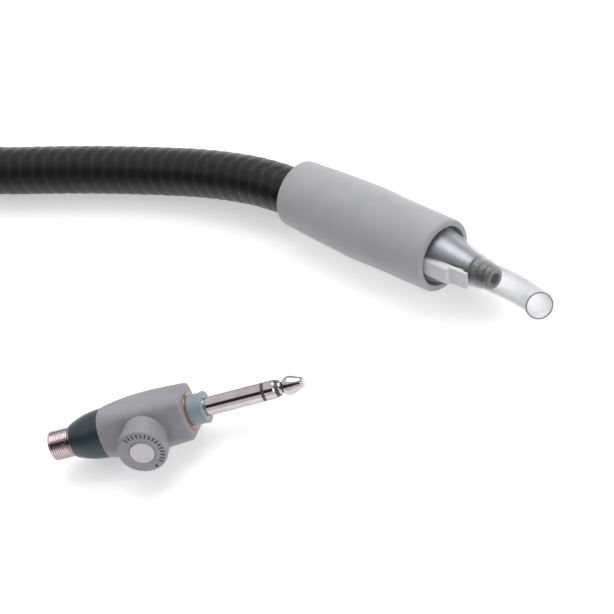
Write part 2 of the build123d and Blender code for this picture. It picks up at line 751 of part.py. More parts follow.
def button_spring():
    """Light coil spring under the button's head."""
    wire, coil_r = 0.15, button_r - 1.1
    height = button_top - button_head - well_floor - 2 * wire - 0.04
    path = Helix(pitch=height / 2, height=height, radius=coil_r)
    coil = sweep(Plane(path @ 0, z_dir=path % 0) * Circle(wire), path, is_frenet=True)
    return to_branch * Rot(0, 90, 0) * Pos(0, 0, well_floor + wire + 0.02) * coil


def tact_switch():
    """Small push switch on the board."""
    base = Pos((board_top + switch_top - 0.6) / 2, 0, 0) * Box(switch_top - 0.6 - board_top, 5.6, 5.6)
    return to_branch * (base + tube(switch_top - 0.7, switch_top, 1.5))


def circuit_board():
    """Square board across the body below the branch."""
    return to_branch * Pos(board_top - 0.5, 0, 0) * Box(1.0, board_size, board_size)


LEAD_R = 0.42


def lead_bundle(start, end, radius):
    """Three insulated leads along the axis between two stations."""
    lead = tube(start, end, LEAD_R)
    return Compound([around(angle, radius) * lead for angle in PIN_ANGLES])


def tail_leads():
    """Leads from the contact pins to the board's rear edge."""
    return lead_bundle(pins_end + SEAT, -board_size / 2 - 0.1, PIN_CIRCLE)


def plug_leads():
    """Leads from the board's front edge to the solder lugs."""
    end = sleeve_rear - 4 * STEP_BACK - 0.1
    return lead_bundle(board_size / 2 + 0.1, end, PIN_CIRCLE)


# ================================================================ coupling on the hose's far end
nut_r = BODY_AXIS_HEIGHT
seal_face = -THREAD_LENGTH
gasket = 0.9
stem_face = seal_face - gasket
neck_r = COUPLING_STEM_NECK / 2
stem_flange = neck_r + 1.7
lip_start = -NUT_LENGTH + NUT_LIP
ferrule_front = -NUT_LENGTH - 0.6
hose_far_end = ferrule_front - 1.2


def coupling_nut():
    """Swivelling nut: ring thread at its mouth, a chamber for the stem's flange, fluted outside."""
    bore = tail_r + THREAD_GAP
    crest = bore + THREAD_DEPTH
    rings = thread_rings(-THREAD_LENGTH - 0.6, -0.6, crest, THREAD_PITCH, bore)
    nut = turned([
        (0, bore + 0.5), (0, nut_r), (-NUT_LENGTH, nut_r), (-NUT_LENGTH, neck_r + 0.15),
        (lip_start, neck_r + 0.15), (lip_start, stem_flange + 0.2),
        (-THREAD_LENGTH - 0.6, stem_flange + 0.2),
    ] + rings, rounds=[((0, nut_r), 1.0), ((-NUT_LENGTH, nut_r), 1.0)])
    middle = -NUT_LENGTH / 2
    flute = Pos(middle, 0, nut_r + 0.25) * Rot(0, 90, 0) * Cylinder(0.6, NUT_LENGTH - 5.0)
    for turn in range(NUT_FLUTES):
        nut -= Rot(turn * 360 / NUT_FLUTES, 0, 0) * flute
    return nut


def coupling_gasket():
    """Flat ring that the tail's end seals against."""
    return tube(stem_face, seal_face, tail_r - 0.1, tail_bore)


def end_stem():
    """Hose stem of the coupling: sealing face, flange inside the nut, neck and barbs in the hose."""
    barb = bore_r - SEAT
    points = [
        (hose_far_end - END_CRIMP_LENGTH, stem_bore_r), (stem_face - SEAT, stem_bore_r),
        (stem_face - SEAT, tail_r - 0.1), (stem_face - 1.0, tail_r - 0.1), (stem_face - 1.0, stem_flange),
        (lip_start + 0.15, stem_flange), (lip_start + 0.15, neck_r), (hose_far_end - SEAT, neck_r),
        (hose_far_end - SEAT, barb - 0.45),
    ]
    for at in (0.75, 0.5, 0.25):
        station = hose_far_end - END_CRIMP_LENGTH * (1 - at)
        points += [(station + 0.01, barb - 0.45), (station, barb)]
    return turned(points + [(hose_far_end - END_CRIMP_LENGTH, barb - 0.5)])


def socket_carrier():
    """Insulating plug with three sockets that take the tail's pins when docked."""
    front = seal_face + 2.7
    rear = stem_face - 5.0
    rod = tube(rear, front, stem_bore_r - SEAT)
    for angle in PIN_ANGLES:
        rod -= around(angle, PIN_CIRCLE) * tube(front - 4.0, front + 1, PIN_R + 0.1)
    return rod


def end_ferrule():
    """Crimp ferrule over the hose's far end, closed round the stem's neck."""
    outer, inner = hose_r + SEAT + CRIMP_WALL, hose_r + SEAT
    rear = hose_far_end - END_CRIMP_LENGTH
    return turned([
        (rear, inner), (rear, outer), (ferrule_front, outer), (ferrule_front, neck_r + SEAT),
        (hose_far_end, neck_r + SEAT), (hose_far_end, inner),
    ], rounds=[((ferrule_front, outer), 0.8), ((rear, outer), 0.3)])


# ================================================================ hose
floor_height = HOSE_OD / 2
hose_start = Vector(hose_end, 0, AXIS_HEIGHT)
hose_stop = mouth_origin + plug_direction * hose_far_end
hose_points = [
    hose_start,
    Vector(-86, 0, AXIS_HEIGHT),
    Vector(-131, -16, floor_height + 0.3),
    Vector(-178, -34.5, floor_height),
    Vector(-245, -27, floor_height),
    Vector(-298, -50, floor_height),
    Vector(-325, -99, floor_height),
    Vector(-317, -156, floor_height),
    Vector(-276, -196, floor_height),
    Vector(-220, -202, floor_height),
    hose_stop - plug_direction * 50,
    hose_stop,
]


def corner_radii(points):
    """Arc radius at each inner point: 0.45 of the shorter run over the tangent of half the turn."""
    radii = []
    for before, at, after in zip(points, points[1:], points[2:]):
        turn = math.radians((at - before).get_angle(after - at))
        shorter = min((at - before).length, (after - at).length)
        radii.append(0.45 * shorter / math.tan(turn / 2))
    return radii


def hose():
    """Flexible hose along its route: straight runs joined by tangent arcs."""
    radii = corner_radii(hose_points)
    path = FilletPolyline(*hose_points, radius=radii)
    section = Plane(path @ 0, z_dir=path % 0) * (Circle(hose_r) - Circle(bore_r))
    solid = sweep(section, path)
    expected = math.pi * (hose_r ** 2 - bore_r ** 2) * path.length
    print("hose length", round(path.length, 1), "volume share", round(solid.volume / expected, 4))
    print("hose bend radii", [round(radius, 1) for radius in radii])
    return solid


# ================================================================ build, centre and write
GRIP_PARTS = [
    grip_sleeve, chassis_tube, hose_ferrule, hose_stem, air_tube, seal_carrier, rotary_seal, nose_bush,
    nose_clip, nose_core, nose_cone, release_tab, tab_spring, tip_spigot, tip_o_rings, tip_tube, tip_collar,
]
PLUG_PARTS = [
    connector_body, tail_cover, threaded_stem, stem_retainer, pin_carrier, contact_pins, copper_ring,
    plug_bush, plug_sleeve, rear_insulator, ring_contact, front_insulator, tip_contact, solder_lugs,
    branch_bush, dial_shaft, pot_wiper, pot_base, pot_track, dial_knob, centre_button, button_spring,
    tact_switch, circuit_board, tail_leads, plug_leads,
]
COUPLING_PARTS = [coupling_nut, coupling_gasket, end_stem, socket_carrier, end_ferrule]

nodes = {}
for group, place in ((GRIP_PARTS, grip_frame), (PLUG_PARTS, plug_frame), (COUPLING_PARTS, coupling_frame)):
    for make in group:
        nodes[make.__name__] = place.location * make()
nodes["hose"] = hose()

standing = Compound([nodes[make.__name__] for make in GRIP_PARTS + PLUG_PARTS]).bounding_box()
shift = Vector(-(standing.min.X + standing.max.X) / 2, -(standing.min.Y + standing.max.Y) / 2, -standing.min.Z)
print("shift to the origin", round(shift.X, 3), round(shift.Y, 3), "lowest", round(standing.min.Z, 4))

os.makedirs("parts", exist_ok=True)
for name, solid in nodes.items():
    nodes[name] = solid.moved(Location(shift))
    export_step(nodes[name], f"parts/{name}.step")
print(len(nodes), "nodes written")
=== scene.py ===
"""Visual model of a flexible-hose dental handpiece and its connector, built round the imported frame."""

import json
import logging
import math
from dataclasses import dataclass, field
from enum import Enum
from typing import Any, Optional, Union

import bmesh
import bpy
from mathutils import Matrix, Vector

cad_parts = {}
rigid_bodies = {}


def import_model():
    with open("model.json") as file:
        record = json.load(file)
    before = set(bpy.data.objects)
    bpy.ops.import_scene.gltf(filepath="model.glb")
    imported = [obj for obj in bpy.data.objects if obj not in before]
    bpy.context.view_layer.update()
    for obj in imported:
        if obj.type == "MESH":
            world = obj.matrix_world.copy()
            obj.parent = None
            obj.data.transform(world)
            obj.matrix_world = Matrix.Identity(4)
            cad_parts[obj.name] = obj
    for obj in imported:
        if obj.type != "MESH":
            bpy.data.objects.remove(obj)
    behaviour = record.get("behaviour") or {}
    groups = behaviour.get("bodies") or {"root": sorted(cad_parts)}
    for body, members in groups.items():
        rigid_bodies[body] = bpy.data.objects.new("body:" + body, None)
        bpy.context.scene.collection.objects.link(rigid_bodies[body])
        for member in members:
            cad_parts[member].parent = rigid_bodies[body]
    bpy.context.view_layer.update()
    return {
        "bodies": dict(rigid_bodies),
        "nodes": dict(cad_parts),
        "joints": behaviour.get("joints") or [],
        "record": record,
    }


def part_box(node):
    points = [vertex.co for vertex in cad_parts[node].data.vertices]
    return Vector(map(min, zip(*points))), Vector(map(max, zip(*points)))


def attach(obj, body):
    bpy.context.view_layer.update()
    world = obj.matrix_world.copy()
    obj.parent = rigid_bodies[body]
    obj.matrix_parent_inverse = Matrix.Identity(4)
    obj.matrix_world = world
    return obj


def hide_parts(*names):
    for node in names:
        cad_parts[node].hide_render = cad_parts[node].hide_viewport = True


LOG = logging.getLogger("dental_handpiece")
MM = 0.001

Triple = tuple[float, float, float]
Frame = dict[str, Any]


class Slot(str, Enum):
    """The record's material slots."""

    GRIP = "grip_silicone"
    HOSE = "hose_rubber"
    ALUMINIUM = "satin_aluminium"
    CLEAR = "clear_plastic"
    TAB = "tab_plastic"
    DARK_STEEL = "dark_steel"
    SPRING = "spring_steel"
    SEAL = "seal_rubber"
    ACETAL = "acetal"
    LINE = "soft_line"
    BODY = "body_plastic"
    COVER = "cover_plastic"
    BUSH = "bush_plastic"
    NICKEL = "nickel"
    COPPER = "copper"
    BRASS = "brass"
    INSULATOR = "insulator"
    BUTTON = "button_plastic"
    BOARD = "board"
    GOLD = "gold"
    LEAD = "lead_sheath"


class Body(str, Enum):
    """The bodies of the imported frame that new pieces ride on."""

    HANDPIECE = "handpiece"
    CONNECTOR = "connector"
    DIAL = "dial"
    TIP = "tip"


# ---------------------------------------------------------------- small helpers
def srgb(value: str) -> tuple[float, float, float, float]:
    """Turns an sRGB hex value into linear RGBA.

    Args:
        value: Six hex digits after a hash, such as "#B4B5B7".

    Returns:
        Linear red, green, blue and an alpha of 1.
    """
    parts = [int(value[i:i + 2], 16) / 255 for i in (1, 3, 5)]
    linear = [c / 12.92 if c <= 0.04045 else ((c + 0.055) / 1.055) ** 2.4 for c in parts]
    return (linear[0], linear[1], linear[2], 1.0)


def add_node(
    tree: bpy.types.NodeTree,
    kind: str,
    settings: Optional[dict[str, Any]] = None,
    inputs: Optional[dict[Union[str, int], Any]] = None,
) -> bpy.types.Node:
    """Adds one node with its settings and its inputs.

    Args:
        tree: The shader or geometry tree.
        kind: The node's type name.
        settings: The node's properties.
        inputs: A value, or the socket that feeds it, for each input by name or number.

    Returns:
        The new node.
    """
    node = tree.nodes.new(kind)
    for key, value in (settings or {}).items():
        setattr(node, key, value)
    for key, value in (inputs or {}).items():
        if isinstance(value, bpy.types.NodeSocket):
            tree.links.new(value, node.inputs[key])
        else:
            node.inputs[key].default_value = value
    return node


def add_mesh(name: str, mesh: bpy.types.Mesh) -> bpy.types.Object:
    """Links a mesh to the scene as an object at the origin.

    Args:
        name: The piece's name.
        mesh: Its mesh, in metres in the frame.

    Returns:
        The new object.
    """
    piece = bpy.data.objects.new(name, mesh)
    bpy.context.scene.collection.objects.link(piece)
    return piece


def axes_from(direction: Vector) -> Matrix:
    """Builds a turn whose X is the direction and whose Z is as near up as it can be.

    Args:
        direction: The axis of a turned part, in the frame.

    Returns:
        A 3 by 3 rotation with the part's axes as its columns.
    """
    along = direction.normalized()
    across = Vector((0, 0, 1)).cross(along).normalized()
    return Matrix((along, across, along.cross(across))).transposed()


@dataclass(frozen=True)
class Place:
    """Where a group of parts has its common axis."""

    origin: Vector
    turn: Matrix

    def matrix(self) -> Matrix:
        """The 4 by 4 matrix from the group's own axes, X along the axis, to the frame."""
        return Matrix.Translation(self.origin) @ self.turn.to_4x4()


def joint_place(frame: Frame, name: str) -> Place:
    """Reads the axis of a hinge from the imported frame.

    Args:
        frame: The loaded frame.
        name: The joint's name.

    Returns:
        The place of its axis.
    """
    joint = next(j for j in frame["joints"] if j["name"] == name)
    return Place(Vector(joint["pos_m"]), axes_from(Vector(joint["axis"])))


# ---------------------------------------------------------------- finishes
@dataclass(frozen=True)
class Finish:
    """A real material and how its surface was made."""

    name: str
    colour: str
    shade: str
    roughness: float = 0.5
    spread: float = 0.08
    patch_mm: float = 5.0
    grain_mm: float = 0.5
    grain_depth_mm: float = 0.01
    place: Optional[Place] = None
    patch_detail: float = 3.0
    patch_roughness: float = 0.55
    grain_detail: float = 2.0
    colour_band: tuple[float, float] = (0.35, 0.65)
    roughness_band: tuple[float, float] = (0.3, 0.7)

    def coordinates(self, tree: bpy.types.NodeTree) -> bpy.types.NodeSocket:
        """Gives millimetres in the part's own axes.

        Args:
            tree: The material's tree.

        Returns:
            The vector socket.
        """
        place = self.place or Place(Vector((0, 0, 0)), Matrix.Identity(3))
        source = add_node(tree, "ShaderNodeTexCoord")
        return add_node(tree, "ShaderNodeMapping", {"vector_type": "TEXTURE"}, {
            "Vector": source.outputs["Object"],
            "Location": place.origin,
            "Rotation": place.turn.to_euler(),
            "Scale": (MM, MM, MM),
        }).outputs[0]

    def mottle(
        self, tree: bpy.types.NodeTree, where: bpy.types.NodeSocket
    ) -> tuple[bpy.types.NodeSocket, bpy.types.NodeSocket]:
        """Varies colour and roughness in soft patches.

        Args:
            tree: The material's tree.
            where: Coordinates in millimetres.

        Returns:
            The colour socket and the roughness socket.
        """
        patches = add_node(tree, "ShaderNodeTexNoise", inputs={
            "Vector": where, "Scale": 1 / self.patch_mm,
            "Detail": self.patch_detail, "Roughness": self.patch_roughness,
        })
        ramp = add_node(tree, "ShaderNodeMapRange", inputs={
            "Value": patches.outputs[0],
            "From Min": self.colour_band[0], "From Max": self.colour_band[1],
        })
        colour = add_node(tree, "ShaderNodeMix", {"data_type": "RGBA"}, {
            0: ramp.outputs[0], 6: srgb(self.colour), 7: srgb(self.shade),
        })
        rough = add_node(tree, "ShaderNodeMapRange", inputs={
            "Value": patches.outputs[0],
            "From Min": self.roughness_band[0], "From Max": self.roughness_band[1],
            "To Min": self.roughness - self.spread / 2, "To Max": self.roughness + self.spread / 2,
        })
        return colour.outputs[2], rough.outputs[0]

    def relief(self, tree: bpy.types.NodeTree, where: bpy.types.NodeSocket) -> bpy.types.NodeSocket:
        """Bumps the surface with its grain.

        Args:
            tree: The material's tree.
            where: Coordinates in millimetres.

        Returns:
            The normal socket.
        """
        grain = add_node(tree, "ShaderNodeTexNoise", inputs={
            "Vector": where, "Scale": 1 / self.grain_mm, "Detail": self.grain_detail,
        })
        return self.bump(tree, grain.outputs[0])

    def bump(self, tree: bpy.types.NodeTree, height: bpy.types.NodeSocket) -> bpy.types.NodeSocket:
        """Turns a height of 0 to 1 into a normal, as deep as the grain.

        Args:
            tree: The material's tree.
            height: The height's socket.

        Returns:
            The normal socket.
        """
        return add_node(tree, "ShaderNodeBump", inputs={
            "Height": height, "Distance": self.grain_depth_mm * MM, "Strength": 1.0,
        }).outputs[0]

    def settings(self) -> dict[str, Any]:
        """The shader's constant inputs."""
        return {}

    def surface(self, tree: bpy.types.NodeTree) -> dict[str, Any]:
        """Makes the nodes that feed the shader.

        Args:
            tree: The material's tree.

        Returns:
            The shader's inputs by name.
        """
        where = self.coordinates(tree)
        colour, rough = self.mottle(tree, where)
        return {"Base Color": colour, "Roughness": rough, "Normal": self.relief(tree, where)}

    def material(self) -> bpy.types.Material:
        """Builds the Blender material.

        Returns:
            The new material.
        """
        made = bpy.data.materials.new(self.name)
        made.use_nodes = True
        tree = made.node_tree
        tree.nodes.clear()
        shader = add_node(
            tree, "ShaderNodeBsdfPrincipled", inputs={**self.settings(), **self.surface(tree)}
        )
        add_node(tree, "ShaderNodeOutputMaterial", inputs={"Surface": shader.outputs[0]})
        return made


@dataclass(frozen=True)
class Moulded(Finish):
    """Moulded plastic: a soft sheen over the fine grain of an eroded mould."""

    ior: float = 1.5
    specular: float = 0.5

    def settings(self) -> dict[str, Any]:
        """The shader's constant inputs."""
        return {"IOR": self.ior, "Specular IOR Level": self.specular}


@dataclass(frozen=True)
class Silicone(Finish):
    """Moulded silicone rubber: matt, a little dusty at grazing angles."""

    sheen: float = 0.25

    def settings(self) -> dict[str, Any]:
        """The shader's constant inputs."""
        return {
            "IOR": 1.41, "Specular IOR Level": 0.35,
            "Sheen Weight": self.sheen, "Sheen Roughness": 0.5,
        }


@dataclass(frozen=True)
class HoseRubber(Finish):
    """Extruded ribbed rubber: satin crowns, with talc left in the grooves."""

    dust: str = "#3A3934"
    dust_share: float = 0.25

    def settings(self) -> dict[str, Any]:
        """The shader's constant inputs."""
        return {"IOR": 1.5, "Specular IOR Level": 0.25, "Sheen Weight": 0.04, "Sheen Roughness": 0.4}

    def surface(self, tree: bpy.types.NodeTree) -> dict[str, Any]:
        """Makes the nodes that feed the shader, with dust where the groove attribute is high.

        Args:
            tree: The material's tree.

        Returns:
            The shader's inputs by name.
        """
        where = self.coordinates(tree)
        colour, rough = self.mottle(tree, where)
        groove = add_node(tree, "ShaderNodeAttribute", {"attribute_name": "groove"})
        amount = add_node(tree, "ShaderNodeMath", {"operation": "MULTIPLY"}, {
            0: groove.outputs["Fac"], 1: self.dust_share,
        })
        dusty = add_node(tree, "ShaderNodeMix", {"data_type": "RGBA"}, {
            0: amount.outputs[0], 6: colour, 7: srgb(self.dust),
        })
        return {"Base Color": dusty.outputs[2], "Roughness": rough, "Normal": self.relief(tree, where)}


@dataclass(frozen=True)
class TurnedMetal(Finish):
    """Metal off a lathe: fine rings round the axis, drawn coarse enough to show."""

    line_mm: float = 0.35
    line_stretch: float = 0.03

    def settings(self) -> dict[str, Any]:
        """The shader's constant inputs."""
        return {"Metallic": 1.0}

    def relief(self, tree: bpy.types.NodeTree, where: bpy.types.NodeSocket) -> bpy.types.NodeSocket:
        """Bumps the surface with lathe rings, which change along the axis only.

        Args:
            tree: The material's tree.
            where: Coordinates in millimetres, X along the axis.

        Returns:
            The normal socket.
        """
        stretched = add_node(tree, "ShaderNodeMapping", inputs={
            "Vector": where, "Scale": (1 / self.line_mm, self.line_stretch, self.line_stretch),
        })
        lines = add_node(tree, "ShaderNodeTexNoise", inputs={
            "Vector": stretched.outputs[0], "Scale": 1.0, "Detail": self.grain_detail,
        })
        return self.bump(tree, lines.outputs[0])


@dataclass(frozen=True)
class BlastedMetal(Finish):
    """Bead-blasted metal: an even satin with no direction."""

    def settings(self) -> dict[str, Any]:
        """The shader's constant inputs."""
        return {"Metallic": 1.0}


@dataclass(frozen=True)
class ClearPlastic(Finish):
    """Clear moulded plastic: seen through face on, milky and bright where it is seen edge on."""

    face: float = 0.09
    edge: float = 0.75
    rim_blend: float = 0.35
    rim_band: tuple[float, float] = (0.15, 0.95)

    def settings(self) -> dict[str, Any]:
        """The shader's constant inputs."""
        return {"IOR": 1.58, "Specular IOR Level": 0.6}

    def surface(self, tree: bpy.types.NodeTree) -> dict[str, Any]:
        """Makes the nodes that feed the shader, with an alpha that rises towards the rim.

        Args:
            tree: The material's tree.

        Returns:
            The shader's inputs by name.
        """
        rim = add_node(tree, "ShaderNodeLayerWeight", inputs={"Blend": self.rim_blend})
        alpha = add_node(tree, "ShaderNodeMapRange", inputs={
            "Value": rim.outputs["Facing"], "From Min": self.rim_band[0], "From Max": self.rim_band[1],
            "To Min": self.face, "To Max": self.edge,
        })
        return {**super().surface(tree), "Alpha": alpha.outputs[0]}


class Palette:
    """Every finish of the object, built once and handed out by slot."""

    def __init__(self, grip: Place, plug: Place, dial: Place) -> None:
        """Describes the finishes.

        Args:
            grip: The handpiece's axis.
            plug: The connector's axis.
            dial: The dial's axis.
        """
        self.finishes: dict[Slot, Finish] = {
            # silicone rubber, moulded: matt light grey, lighter where it turns away
            Slot.GRIP: Silicone(
                "silicone_rubber_moulded", "#A4A5A7", "#9EA0A2",
                roughness=0.62, spread=0.06, patch_mm=9.0, grain_mm=0.45, grain_depth_mm=0.008,
            ),
            # nitrile-blend hose, extruded and ribbed: near black with a satin crown to each rib
            Slot.HOSE: HoseRubber(
                "rubber_hose_extruded", "#191819", "#151415",
                roughness=0.34, spread=0.12, patch_mm=7.0, grain_mm=0.6, grain_depth_mm=0.012,
            ),
            # aluminium, turned and bead blasted: soft even silver
            Slot.ALUMINIUM: BlastedMetal(
                "aluminium_bead_blasted", "#9FA1A5", "#97999D",
                roughness=0.42, spread=0.08, patch_mm=4.0, grain_mm=0.4, grain_depth_mm=0.006,
                place=grip,
            ),
            # polycarbonate, moulded clear: only its edges and glints show
            Slot.CLEAR: ClearPlastic(
                "polycarbonate_clear_moulded", "#B4B8BB", "#AEB2B5",
                roughness=0.08, spread=0.05, patch_mm=6.0, grain_mm=1.5, grain_depth_mm=0.004,
            ),
            # ABS, moulded: a shade lighter and glossier than the grip
            Slot.TAB: Moulded(
                "abs_light_grey_moulded", "#D3D4D6", "#CDCED0",
                roughness=0.4, spread=0.06, patch_mm=4.0, grain_mm=0.5, grain_depth_mm=0.005,
            ),
            # stainless steel, turned and blackened: olive grey with lathe rings
            Slot.DARK_STEEL: TurnedMetal(
                "stainless_steel_blackened", "#6E6E69", "#62625E",
                roughness=0.36, spread=0.1, patch_mm=3.0, grain_mm=0.4, grain_depth_mm=0.006,
                place=grip,
            ),
            # spring steel, drawn bright
            Slot.SPRING: TurnedMetal(
                "spring_steel_drawn", "#9C9DA0", "#8C8D90",
                roughness=0.3, spread=0.1, patch_mm=3.0, grain_mm=0.4, grain_depth_mm=0.004,
                place=grip,
            ),
            # nitrile rubber, moulded seals: dull black
            Slot.SEAL: Silicone(
                "nitrile_rubber_moulded", "#1C1B1B", "#242323",
                roughness=0.55, spread=0.1, patch_mm=3.0, grain_mm=0.4, grain_depth_mm=0.006,
                sheen=0.1,
            ),
            # acetal, turned: waxy off-white
            Slot.ACETAL: Moulded(
                "acetal_turned", "#DCDAD2", "#D3D0C8",
                roughness=0.4, spread=0.06, patch_mm=4.0, grain_mm=0.5, grain_depth_mm=0.004,
            ),
            # polyurethane air line, extruded: cloudy, soft
            Slot.LINE: Moulded(
                "polyurethane_line_extruded", "#CDD2CD", "#C3C9C4",
                roughness=0.35, spread=0.06, patch_mm=4.0, grain_mm=0.5, grain_depth_mm=0.004,
            ),
            # ABS, moulded and sprayed cool grey: fine even grain
            Slot.BODY: Moulded(
                "abs_grey_satin_sprayed", "#939095", "#8B898F",
                roughness=0.4, spread=0.07, patch_mm=6.0, grain_mm=0.42, grain_depth_mm=0.007,
            ),
            # glass-filled nylon, moulded dark green: oily sheen
            Slot.COVER: Moulded(
                "nylon_dark_green_moulded", "#25383E", "#203137",
                roughness=0.34, spread=0.08, patch_mm=4.0, grain_mm=0.45, grain_depth_mm=0.008,
            ),
            # polycarbonate blend, moulded blue grey
            Slot.BUSH: Moulded(
                "pbt_blue_grey_moulded", "#8D9AA3", "#84919A",
                roughness=0.36, spread=0.07, patch_mm=4.0, grain_mm=0.45, grain_depth_mm=0.005,
            ),
            # brass, turned and nickel plated: bright, a little warm, faint lathe rings
            Slot.NICKEL: TurnedMetal(
                "brass_nickel_plated", "#CDC1C1", "#C2B6B7",
                roughness=0.12, spread=0.06, patch_mm=4.0, grain_mm=0.4, grain_depth_mm=0.0025,
                place=plug,
            ),
            # copper, turned and left bare: warm, slightly dulled
            Slot.COPPER: TurnedMetal(
                "copper_turned", "#C08A70", "#A87258",
                roughness=0.28, spread=0.12, patch_mm=2.5, grain_mm=0.4, grain_depth_mm=0.005,
                place=plug,
            ),
            # brass, turned
            Slot.BRASS: TurnedMetal(
                "brass_turned", "#C9A560", "#B8934F",
                roughness=0.28, spread=0.1, patch_mm=3.0, grain_mm=0.4, grain_depth_mm=0.005,
                place=plug,
            ),
            # glass-filled PBT, moulded dark grey
            Slot.INSULATOR: Moulded(
                "pbt_dark_grey_moulded", "#4A4648", "#423E40",
                roughness=0.42, spread=0.08, patch_mm=2.5, grain_mm=0.4, grain_depth_mm=0.005,
            ),
            # ABS, moulded near white
            Slot.BUTTON: Moulded(
                "abs_white_moulded", "#CFCACD", "#C8C3C7",
                roughness=0.36, spread=0.06, patch_mm=4.0, grain_mm=0.5, grain_depth_mm=0.006,
            ),
            # epoxy glass board with green mask
            Slot.BOARD: Moulded(
                "fr4_solder_mask", "#1F5138", "#1A4630",
                roughness=0.3, spread=0.08, patch_mm=2.0, grain_mm=0.3, grain_depth_mm=0.004,
            ),
            # gold plate on brass pins
            Slot.GOLD: TurnedMetal(
                "brass_gold_plated", "#E3C06C", "#D8B25C",
                roughness=0.2, spread=0.08, patch_mm=2.0, grain_mm=0.3, grain_depth_mm=0.003,
                place=plug,
            ),
            # PVC wire covering, extruded red
            Slot.LEAD: Moulded(
                "pvc_sheath_extruded", "#8A2A22", "#7C241D",
                roughness=0.4, spread=0.08, patch_mm=2.0, grain_mm=0.4, grain_depth_mm=0.004,
            ),
        }
        # pad-printed ink on the dial: flat black
        self.ink = Moulded(
            "pad_print_ink", "#171617", "#1F1E1F",
            roughness=0.5, spread=0.06, patch_mm=3.0, grain_mm=0.4, grain_depth_mm=0.002,
        )
        # polycarbonate at the tube's cut end, grey: painted shade for the dark outline that light gives the
        # clear tube's end
        self.rim_painted_shade = Moulded(
            "polycarbonate_cut_edge", "#8E9092", "#86888A",
            roughness=0.3, spread=0.06, patch_mm=3.0, grain_mm=0.4, grain_depth_mm=0.002,
        )
        self.made: dict[Slot, bpy.types.Material] = {}

    def get(self, slot: Slot) -> bpy.types.Material:
        """Hands out a slot's material, building it the first time.

        Args:
            slot: The record's slot.

        Returns:
            The material.
        """
        if slot not in self.made:
            self.made[slot] = self.finishes[slot].material()
        return self.made[slot]


# ---------------------------------------------------------------- geometry-node helpers
@dataclass
class Tree:
    """A geometry-node group with named inputs, put on a piece and baked to a plain mesh."""

    name: str
    group: bpy.types.NodeTree = field(init=False)
    entry: bpy.types.Node = field(init=False)

    def __post_init__(self) -> None:
        """Starts the group with its geometry in and out."""
        self.group = bpy.data.node_groups.new(self.name, "GeometryNodeTree")
        self.group.interface.new_socket("Geometry", in_out="INPUT", socket_type="NodeSocketGeometry")
        self.group.interface.new_socket("Geometry", in_out="OUTPUT", socket_type="NodeSocketGeometry")
        self.entry = self.group.nodes.new("NodeGroupInput")

    def size(self, name: str, kind: str = "NodeSocketFloat") -> bpy.types.NodeSocket:
        """Adds a named input.

        Args:
            name: The input's name.
            kind: The socket's type.

        Returns:
            The socket inside the group.
        """
        self.group.interface.new_socket(name, in_out="INPUT", socket_type=kind)
        return self.entry.outputs[name]

    def node(
        self,
        kind: str,
        settings: Optional[dict[str, Any]] = None,
        inputs: Optional[dict[Union[str, int], Any]] = None,
    ) -> bpy.types.Node:
        """Adds a node to the group.

        Args:
            kind: The node's type name.
            settings: The node's properties.
            inputs: A value or a socket for each input.

        Returns:
            The new node.
        """
        return add_node(self.group, kind, settings, inputs)

    def finish(self, geometry: bpy.types.NodeSocket, material: bpy.types.NodeSocket) -> None:
        """Ends the group in Realize Instances and Set Material.

        Args:
            geometry: The last geometry socket.
            material: The material input's socket.
        """
        real = self.node("GeometryNodeRealizeInstances", inputs={"Geometry": geometry})
        dressed = self.node("GeometryNodeSetMaterial", inputs={
            "Geometry": real.outputs[0], "Material": material,
        })
        self.node("NodeGroupOutput", inputs={0: dressed.outputs[0]})

    def bake(self, piece: bpy.types.Object, values: dict[str, Any]) -> bpy.types.Object:
        """Runs the group on a piece and keeps only the plain mesh.

        Args:
            piece: The object that the group works on.
            values: The named inputs' values.

        Returns:
            The same object with its new mesh and no modifier.
        """
        modifier = piece.modifiers.new(self.name, "NODES")
        modifier.node_group = self.group
        for item in self.group.interface.items_tree:
            if item.item_type == "SOCKET" and item.in_out == "INPUT" and item.name in values:
                modifier[item.identifier] = values[item.name]
        bpy.context.view_layer.update()
        depsgraph = bpy.context.evaluated_depsgraph_get()
        mesh = bpy.data.meshes.new_from_object(piece.evaluated_get(depsgraph))
        mesh.name = piece.name
        piece.modifiers.remove(modifier)
        piece.data = mesh
        return piece


# ---------------------------------------------------------------- sub-assemblies
@dataclass
class SubAssembly:
    """A group of nodes that share an axis, with the pieces that Blender adds to them."""

    frame: Frame
    palette: Palette
    place: Place
    nodes: tuple[str, ...] = ()

    def dress(self) -> None:
        """Gives each carried-over node the finish of its slot."""
        slots = {part["node"]: part["material_slot"] for part in self.frame["record"]["subparts"]}
        for name in self.nodes:
            mesh = self.frame["nodes"][name].data
            mesh.materials.clear()
            mesh.materials.append(self.palette.get(Slot(slots[name])))
            LOG.info("dressed %s as %s", name, slots[name])

    def adopt(self, piece: bpy.types.Object, body: Body, slot: Slot) -> bpy.types.Object:
        """Lets a new piece ride on a body and gives it its slot's finish if it has none.

        Args:
            piece: The finished piece.
            body: The body that carries it.
            slot: The slot that it takes its finish from.

        Returns:
            The same piece.
        """
        if not piece.data.materials:
            piece.data.materials.append(self.palette.get(slot))
        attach(piece, body.value)
        LOG.info("built %s with %d faces", piece.name, len(piece.data.polygons))
        return piece

    def build(self) -> None:
        """Builds and dresses the group."""
        self.dress()


@dataclass
class Grip(SubAssembly):
    """The soft sleeve and what it hides."""

    nodes: tuple[str, ...] = (
        "grip_sleeve", "chassis_tube", "hose_ferrule", "hose_stem", "air_tube",
        "seal_carrier", "rotary_seal", "nose_bush",
    )


@dataclass
class Nose(SubAssembly):
    """The satin cone under its clear shell, with the release tab and the spigot."""

    nodes: tuple[str, ...] = (
        "nose_clip", "nose_core", "nose_cone", "tab_spring", "release_tab", "tip_spigot", "tip_o_rings",
    )


